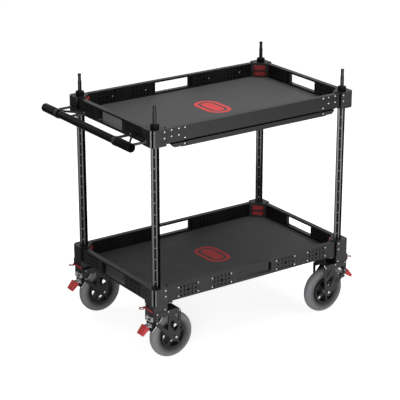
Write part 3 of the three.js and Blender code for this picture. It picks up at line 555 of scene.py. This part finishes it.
def post_ring(notched):
    """One level of the post's outline, and for each side of it the finish of the face that stands on it."""
    points, looks = [], []
    corner, tooth = post_half - edge_cut, tooth_reach * math.sqrt(2) - post_half
    for turn in range(4):
        angle = (turn + 0.5) * math.pi / 2
        c, s = math.cos(angle), math.sin(angle)
        half = [(post_half - groove_deep, groove_half), (post_half - groove_edge, groove_half),
                (post_half, groove_half + groove_edge), (post_half, tooth), (post_half, corner)]
        side_look = 0 if turn % 2 == 0 else 3
        looks += [side_look] * 3 + [1] * 3 + [side_look] * 2 + [3] * 2
        for x, y in [(x, -y) for x, y in half[::-1]] + half:
            points.append((x * c - y * s, x * s + y * c))
    if notched:
        # Painted shade: the walls inside the notches take the matt black, so that the teeth read deep.
        middles = [(a[0] + b[0]) / 2 for a, b in zip(points, points[1:] + points[:1])]
        looks = [3 if abs(x) > tooth_reach + 0.1 else look for x, look in zip(middles, looks)]
        points = [(min(max(x, -tooth_reach), tooth_reach), y) for x, y in points]
    return points, looks


for place, (side_x, side_y) in corner_places.items():
    shape = bmesh.new()
    plain, looks = post_ring(False)
    notched, notched_looks = post_ring(True)
    levels = [(post_low, plain, looks)]
    z = post_low + tooth_pitch
    while z < post_high - tooth_pitch:
        levels += [(z, plain, notched_looks), (z, notched, notched_looks),
                   (z + tooth_gap, notched, notched_looks), (z + tooth_gap, plain, looks)]
        z += tooth_pitch
    levels.append((post_high, plain, looks))
    rings = [([shape.verts.new((side_x * post_x + x, side_y * post_y + y, z)) for x, y in outline], over)
             for z, outline, over in levels]
    for (below, over), (above, _) in zip(rings, rings[1:]):
        for k in range(len(plain)):
            n = (k + 1) % len(plain)
            shape.faces.new((below[k], below[n], above[n], above[k])).material_index = over[k]
    shape.faces.new(rings[0][0][::-1])
    shape.faces.new(rings[-1][0])
    bmesh.ops.remove_doubles(shape, verts=shape.verts, dist=0.001)
    line_back, line_face = post_half - groove_deep - line_sunk, post_half - line_below
    for turn in range(4):
        angle = (turn + 0.5) * math.pi / 2
        c, s = math.cos(angle), math.sin(angle)
        for count in range(line_count):
            at_z = line_first + count * line_pitch
            outline = [(side_x * post_x + x * c - y * s, side_y * post_y + x * s + y * c)
                       for x, y in ((line_back, -line_half), (line_face, -line_half), (line_face, line_half),
                                    (line_back, line_half))]
            prism(shape, outline, at_z, at_z + line_tall, look=2)
    finished(f"post_{place}_made", shape, [smoke_anodised, moulded_black_and_painted_shade, index_line, matt_black_and_painted_shade], "frame",
             [f"post_{place}"])


# Spigots: turned steel pins, blackened, with a waist under the head that a clamp screw drops into.
# A moulded knob with eight lobes turns each one down into the end of its post.
blackened_steel = finish("blackened_steel", ("#0f1011", "#151617"), (0.26, 0.36), metallic=0.4, grain=0.8,
                         depth=0.02, stretch=(1, 1, 0.2))
knob_low, knob_high, pin_top = 1018.8, 1036.0, 1112.4
knob_radius, lobe_height, lobe_count, lobe_flatness, knob_steps = 17.5, 0.95, 8, 2.2, 96
collar_radius, pin_radius, waist_radius, head_radius, bore_radius = 13.5, 8.0, 6.7, 7.6, 3.4
# The profile of the pin and the collar under it: the radius and the height.
pin_profile = [(0, knob_high - 0.2), (collar_radius, knob_high - 0.2), (collar_radius, knob_high + 1.0),
               (11.5, knob_high + 2.2), (pin_radius, knob_high + 2.2), (pin_radius, 1081.4),
               (waist_radius, 1082.4), (waist_radius, 1105.4), (head_radius, 1106.4), (head_radius, 1111.4),
               (6.6, pin_top), (bore_radius, pin_top), (bore_radius, pin_top - 5), (0, pin_top - 5)]
for place, (side_x, side_y) in corner_places.items():
    shape = bmesh.new()
    axis_x, axis_y = side_x * post_x, side_y * post_y
    outline = []
    for k in range(knob_steps):
        angle = 2 * math.pi * k / knob_steps
        lobe = math.tanh(lobe_flatness * math.cos(lobe_count * angle)) / math.tanh(lobe_flatness)
        radius = knob_radius + lobe_height * lobe
        outline.append((axis_x + radius * math.cos(angle), axis_y + radius * math.sin(angle)))
    prism(shape, outline, knob_low, knob_high, look=1)
    turned(shape, pin_profile, (axis_x, axis_y, 0), (0, 0, 1), steps=40)
    finished(f"spigot_{place}_made", shape, [blackened_steel, moulded_black_and_painted_shade], "frame",
             [f"spigot_{place}"], bevel=0.5)


# Clamp levers: zinc castings, powder coated red, two in each corner on one bright hinge pin. They lie
# flat across the corner when they are closed and hold the casting tight on its post.
# Painted shade: the coat's own red is made darker than the pedals' red, for the shade that the levers lie in
# under the corners. The release rings take it too.
red_coat_with_painted_shade = finish("red_powder_coat_with_painted_shade", ("#a0262a", "#ac2c2f"), (0.42, 0.52), grain=1.4, depth=0.06)
# How far the middle of each lever lies below the top of the pair, with half its height.
lever_levels = ((21.5, 10.0), (48.5, 8.7))
# The outline seen from above, along the lever and inward from the axis of the post.
lever_outline = ((-26.8, 30.8), (26, 30.8), (26, 32.0), (20, 36.6), (10, 36.0), (-10, 36.0), (-20, 37.0),
                 (-28, 32.8))
hinge_along, hinge_inward, hinge_ends, hinge_sunk = -22.5, 33.6, ((11.5, 1), (57.2, -1)), 0.1
hinge_profile = [(0, -0.4), (3.2, -0.4), (3.2, 0.7), (2.6, 1.2), (0, 1.2)]
for level, high in (("lower", 334.1), ("top", 1018.5)):
    for place, (side_x, side_y) in corner_places.items():
        name = f"{level}_levers_{place}"
        flip = side_x * side_y

        def in_corner(along, inward):
            return (side_x * (post_x + (-inward + flip * along) / math.sqrt(2)),
                    side_y * (post_y + (-inward - flip * along) / math.sqrt(2)))

        shape = bmesh.new()
        for below, tall in lever_levels:
            prism(shape, [in_corner(along, inward) for along, inward in lever_outline], high - below - tall,
                  high - below + tall)
        for below, way in hinge_ends:
            hinge = (*in_corner(hinge_along, hinge_inward), high - below - hinge_sunk * way)
            turned(shape, hinge_profile, hinge, (0, 0, way), steps=16, look=1)
        finished(f"{name}_made", shape, [red_coat_with_painted_shade, zinc_screw], f"{name}_body", [name], bevel=1.8,
                 rounds=3)


# Push handle: an aluminium tube with a black anodised skin. Two thicker sleeves close its ends with
# flat discs, and two pierced arms of black plate hold it by collars.
grip_black = finish("satin_black_tube", ("#060607", "#0a0a0b"), (0.2, 0.28), grain=1.0, depth=0.03, sheen=0.07)
bar_x, bar_z = -625.0, 974.9
disc_radius, disc_from = 15, 340.5
# Half of the bar, from its middle outwards: the radius, and how far along.
half_bar = [(16.3, 0), (16.3, 238.5), (19.0, 239.6), (19.0, 246.0), (18.5, 246.6), (18.5, 248.4), (19.0, 249.0),
            (19.0, 338.5), (18.6, 341.0), (17.4, 342.0), (15.6, 342.0), (15.0, 340.6), (4.0, 340.6), (0, 340.9)]
shape = bmesh.new()
turned(shape, [(r, -y) for r, y in half_bar[:0:-1]] + half_bar[1:], (bar_x, 0, bar_z), (0, 1, 0), steps=64)
for face in shape.faces:
    centre = face.calc_center_median()
    if abs(centre.y) > disc_from and math.hypot(centre.x - bar_x, centre.z - bar_z) < disc_radius:
        face.material_index = 1
finished("handle_bar_made", shape, [grip_black, matt_black_and_painted_shade], "top_tray", ["handle_bar"])
arm_screw_x, arm_screws_y, arm_screw_z, arm_head = -527.5, (181.5, 294.5), 974.4, 3.2
collar_screw_y, collar_screw_up, collar_head = 230.4, 20.1, 2.6
for place, way in (("front", -1), ("back", 1)):
    shape = solid_of(f"handle_arm_{place}")
    for y in arm_screws_y:
        button_screw(shape, (arm_screw_x, way * y, arm_screw_z), (0, 0, 1), arm_head)
    button_screw(shape, (bar_x, way * collar_screw_y, bar_z + collar_screw_up), (0, 0, 1), collar_head)
    finished(f"handle_arm_{place}_made", shape, [corner_black, zinc_screw], "top_tray",
             [f"handle_arm_{place}"], bevel=0.8)


# Pull-out shelf: a shallow tray of black anodised sheet with a folded front. Its side flanges slide in
# two black extruded runners. A bright screw holds the block at the front end of each, and one lies below.
fold_half, fold_low, fold_high, fold_front, fold_back = 330, 946.9, 948.3, -319.7, -317.0
shape = solid_of("shelf_tray")
prism(shape, [(-fold_half, fold_low), (fold_half, fold_low), (fold_half, fold_high), (-fold_half, fold_high)],
      fold_front, fold_back, axis="y")
finished("shelf_tray_made", shape, [black_anodised], "shelf", ["shelf_tray"], bevel=0.5)
# Each runner screw: its place, the way that its head faces, and its radius.
runner_screws = (((357.7, -320.3, 940.0), (0, -1, 0), 3.2), ((400.0, -310.3, 931.5), (0, 0, -1), 2.4))
shape = solid_of("shelf_runners")
for way in (-1, 1):
    for (x, y, z), axis, radius in runner_screws:
        button_screw(shape, (way * x, y, z), axis, radius)
finished("shelf_runners_made", shape, [corner_black, zinc_screw], "top_tray", ["shelf_runners"],
         bevel=0.6)


# Casters: a pressed steel fork with trussed cheeks, a foam-filled grey tyre on a five-spoke nylon hub,
# a zinc-plated brake shoe and arm with a red moulded pedal, and a red release ring on the socket.
tyre_grey = finish("grey_rubber_tyre", ("#8b8c8e", "#959698"), (0.5, 0.6), patch=60, grain=1.8, depth=0.12)
hub_black = finish("glass_filled_nylon_hub", ("#0e0e10", "#141416"), (0.42, 0.52), grain=0.9, depth=0.04)
fork_black = finish("black_coated_steel_fork", ("#0d0d0e", "#131314"), (0.34, 0.44), grain=1.2, depth=0.05)
zinc_plate = finish("bright_zinc_plate", ("#dfe0e1", "#ecedee"), (0.26, 0.36), metallic=0.3, patch=25,
                    grain=0.8, depth=0.02)
pedal_red = finish("red_moulded_pedal", ("#dc4042", "#e34a4b"), (0.4, 0.5), grain=1.0, depth=0.04)
wheel_trail, wheel_radius, fork_half, fork_aside = 71.7, 101.6, 41.0, 4
# Painted shade: the rubber's colour darkens towards its bead, for the shade where the sidewall curves in.
# All four axles lie equally far from the middle of the cart, so one material can tell by place how far a
# point of any tyre lies from its axle.
rubber = tyre_grey.node_tree
spot = node(rubber, "SeparateXYZ", {0: node(rubber, "TexCoord").outputs["Object"]}).outputs
from_middle = node(rubber, "Math", {0: spot["X"], 1: frame_shift / 1000}, operation="SUBTRACT")
one_side = node(rubber, "Math", {0: from_middle.outputs[0]}, operation="ABSOLUTE")
level_out = node(rubber, "Math", {0: one_side.outputs[0], 1: (post_x - wheel_trail) / 1000},
                 operation="SUBTRACT")
level_up = node(rubber, "Math", {0: spot["Z"], 1: wheel_radius / 1000}, operation="SUBTRACT")
flat = node(rubber, "CombineXYZ", {"X": level_out.outputs[0], "Z": level_up.outputs[0]})
from_axle = node(rubber, "VectorMath", {0: flat.outputs[0]}, operation="LENGTH")
clear_of_bead_shade = node(rubber, "MapRange", {"Value": from_axle.outputs["Value"], "From Min": 0.060, "From Max": 0.094},
             interpolation_type="SMOOTHSTEP")
bare_tone = rubber.nodes["Principled BSDF"].inputs["Base Color"].links[0].from_socket
# The darker colour near the bead is painted shade.
bead_painted_shade = node(rubber, "Mix", {"Factor": clear_of_bead_shade.outputs[0], "A": linear("#333435"), "B": bare_tone},
            data_type="RGBA")
rubber.links.new(bead_painted_shade.outputs["Result"], rubber.nodes["Principled BSDF"].inputs["Base Color"])
# Profiles: the radius, and how far from the middle of the wheel. The tyre has its half of one.
tyre_profile = [(58.3, 14.5), (60.5, 15.6), (62.5, 16.0), (63.5, 17.4), (65.5, 19.0), (69.0, 20.8),
                (74.0, 22.2), (79.0, 22.7), (84.0, 22.2), (88.5, 20.7), (92.3, 18.4), (95.6, 15.4),
                (98.3, 12.0), (100.2, 8.2), (101.2, 4.4), (101.6, 0.0)]
rim_profile = [(51.0, -19.5), (52.0, -21.5), (56.4, -21.5), (57.4, -20.5), (58.0, -16), (58.0, 16),
               (57.4, 20.5), (56.4, 21.5), (52.0, 21.5), (51.0, 19.5), (51.0, 4), (49.5, 3), (49.5, -3),
               (51.0, -4)]
boss_profile = [(6.4, -20.5), (20, -20.5), (21.5, -19), (21.5, 19), (20, 20.5), (6.4, 20.5)]
sleeve_profile = [(6.4, -35.6), (11.2, -35.6), (12, -34.8), (12, 34.8), (11.2, 35.6), (6.4, 35.6)]
# Each spoke is a waisted web with a narrow rib on it: half its width, and its outline from the axle out.
spoke_forms = ((18.6, [(17, -9), (25, -5.4), (40, -4.6), (48, -6.5), (52, -10), (52, 10), (48, 6.5), (40, 4.6),
                       (25, 5.4), (17, 9)]),
               (19.8, [(19, -3.0), (51, -2.4), (51, 2.4), (19, 3.0)]))
spoke_count, left_phase, right_phase = 5, 0.25, 0.61
fork_screws, fork_head = ((90, 220.5), (35.5, 225), (-20, 225), (-22, 186)), 3.0
nut_profile, nut_out = [(0, -0.3), (5.6, -0.3), (5.6, 0.5), (4.6, 1.0), (0, 1.0)], 3.5
bracket_front, bracket_half, bracket_low, bracket_high = -37.6, 21, 185.5, 206.5
bracket_bar, bracket_bar_back, bracket_cheek, bracket_cheek_back = 4, -34.9, 5, -28.5
pin_x, pin_z = -30.0, 165.0
pad_x, pad_z, pad_tilt = -66.0, 151.0, math.radians(46)
pad_half, pad_thin, pad_thick, pad_side = 22, 6.5, 11.5, 19.5
rib_places = (-14, -7, 0, 7, 14)
rib_foot, rib_top, rib_sunk, rib_rise, rib_side = 1.4, 0.8, 1, 0.9, 15
arm_inner, arm_outer, arm_half, arm_sunk, web_from = 9.5, 13, 4, 5, 2
arm_pin_profile = [(2.9, -16.7), (6.4, -16.7), (7.0, -16.1), (7.0, 16.1), (6.4, 16.7), (2.9, 16.7)]
shoe_tilt, shoe_gap, shoe_thick, shoe_lip, shoe_lip_side = math.radians(47), 7.6, 3, 9, 20
shoe_low, shoe_high, shoe_middle_side, shoe_side = -44.2, 39.3, 28.4, 31
for place, (side_x, side_y) in corner_places.items():
    way = -side_x
    axis_x, axis_y = side_x * post_x, side_y * (post_y - fork_aside)

    def at(x, y, z):
        return (axis_x + way * x, axis_y + way * y, z)

    def across(shape, outline, near, far, look=0):
        """An outline in x and z beside the swivel axis, carried along Y."""
        ends = sorted((axis_y + way * near, axis_y + way * far))
        prism(shape, [(axis_x + way * x, z) for x, z in outline], ends[0], ends[1], axis="y", look=look)

    def block(shape, near, far, look):
        ends = list(zip(at(*near), at(*far)))
        box(shape, [min(pair) for pair in ends], [max(pair) for pair in ends], look=look)

    wheel_middle = at(wheel_trail, 0, wheel_radius)
    shape = bmesh.new()
    turned(shape, [(r, -y) for r, y in tyre_profile] + tyre_profile[-2::-1], wheel_middle, (0, 1, 0), steps=96,
           closed=True)
    finished(f"tyre_{place}_made", shape, [tyre_grey], f"wheel_{place}", [f"tyre_{place}"])

    shape = bmesh.new()
    turned(shape, rim_profile, wheel_middle, (0, 1, 0), steps=96, closed=True)
    turned(shape, boss_profile, wheel_middle, (0, 1, 0), steps=48, closed=True)
    turned(shape, sleeve_profile, wheel_middle, (0, 1, 0), steps=32, look=1, closed=True)
    for k in range(spoke_count):
        angle = 2 * math.pi * (k + (left_phase if side_x < 0 else right_phase)) / spoke_count
        c, s = way * math.cos(angle), math.sin(angle)
        for half_y, outline in spoke_forms:
            points = [(wheel_middle[0] + a * c - way * b * s, wheel_radius + a * s + b * way * c)
                      for a, b in outline]
            prism(shape, points, axis_y - half_y, axis_y + half_y, axis="y")
    finished(f"hub_{place}_made", shape, [hub_black, zinc_plate], f"wheel_{place}", [f"hub_{place}"],
             bevel=1.0)

    shape = solid_of(f"fork_{place}")
    for sense in (-1, 1):
        out = (0, way * sense, 0)
        for x, z in fork_screws:
            button_screw(shape, at(x, sense * fork_half, z), out, fork_head)
        end = at(wheel_trail, sense * (fork_half + nut_out), wheel_radius)
        turned(shape, nut_profile, end, out, steps=6, look=1)
    for z in (bracket_low, bracket_high - bracket_bar):
        block(shape, (bracket_front, -bracket_half, z), (bracket_bar_back, bracket_half, z + bracket_bar), 2)
    for y in (-bracket_half, bracket_half - bracket_cheek):
        block(shape, (bracket_front, y, bracket_low), (bracket_cheek_back, y + bracket_cheek, bracket_high), 2)
    finished(f"fork_{place}_made", shape, [fork_black, zinc_screw, zinc_plate], f"caster_{place}",
             [f"fork_{place}"], bevel=0.9)

    c, s = math.cos(pad_tilt), math.sin(pad_tilt)

    def on_pad(a, b):
        return (pad_x + a * c - b * s, pad_z + a * s + b * c)

    shape = bmesh.new()
    across(shape, [on_pad(-pad_half, -pad_thin), on_pad(pad_half, -pad_thick), on_pad(pad_half, pad_thick),
                   on_pad(-pad_half, pad_thin)], -pad_side, pad_side)
    finished(f"brake_pedal_{place}_made", shape, [pedal_red], f"brake_{place}", [f"brake_pedal_{place}"],
             bevel=3.2, rounds=4)
    shape = bmesh.new()
    for a in rib_places:
        rise = (pad_thin + pad_thick) / 2 + a * (pad_thick - pad_thin) / (2 * pad_half)
        across(shape, [on_pad(a - rib_foot, rise - rib_sunk), on_pad(a + rib_foot, rise - rib_sunk),
                       on_pad(a + rib_top, rise + rib_rise), on_pad(a - rib_top, rise + rib_rise)],
               -rib_side, rib_side)
    finished(f"brake_pedal_ribs_{place}", shape, [pedal_red], f"brake_{place}", bevel=0.3)

    sc, ss = math.cos(shoe_tilt), math.sin(shoe_tilt)

    def on_shoe(a, b):
        return (wheel_trail - ss * (wheel_radius + shoe_gap + b) + sc * a,
                wheel_radius + sc * (wheel_radius + shoe_gap + b) + ss * a)

    shape = bmesh.new()
    root_x, root_z = pad_x + pad_half * c, pad_z + pad_half * s
    for y0, y1 in ((-arm_outer, -arm_inner), (arm_inner, arm_outer)):
        across(shape, [(pin_x, pin_z - arm_half), (pin_x, pin_z + arm_half), (root_x, root_z + arm_half),
                       (root_x - arm_sunk, root_z + 1), (root_x - arm_sunk, root_z - arm_sunk),
                       (root_x, root_z - arm_half)], y0, y1)
    across(shape, [(pin_x, pin_z + web_from), (pin_x, pin_z + arm_half), (root_x, root_z + arm_half),
                   (root_x, root_z + web_from)], -arm_outer, arm_outer)
    turned(shape, arm_pin_profile, at(pin_x, 0, pin_z), (0, 1, 0), steps=24, closed=True)
    for near, far, look in ((-shoe_side, -shoe_middle_side, 0), (-shoe_middle_side, shoe_middle_side, 1),
                            (shoe_middle_side, shoe_side, 0)):
        across(shape, [on_shoe(shoe_low, 0), on_shoe(shoe_high, 0), on_shoe(shoe_high, shoe_thick),
                       on_shoe(shoe_low, shoe_thick)], near, far, look)
    across(shape, [on_shoe(shoe_low, shoe_thick), on_shoe(shoe_low, -shoe_lip),
                   on_shoe(shoe_low + shoe_thick, -shoe_lip), on_shoe(shoe_low + shoe_thick, shoe_thick)],
           -shoe_lip_side, shoe_lip_side)
    finished(f"brake_steel_{place}", shape, [zinc_plate, fork_black], f"brake_{place}", bevel=0.6)

    shape = solid_of(f"release_pull_{place}")
    # The ring takes the levers' red, darkened as painted shade.
    finished(f"release_pull_{place}_made", shape, [red_coat_with_painted_shade], f"pull_{place}",
             [f"release_pull_{place}"], bevel=0.6)
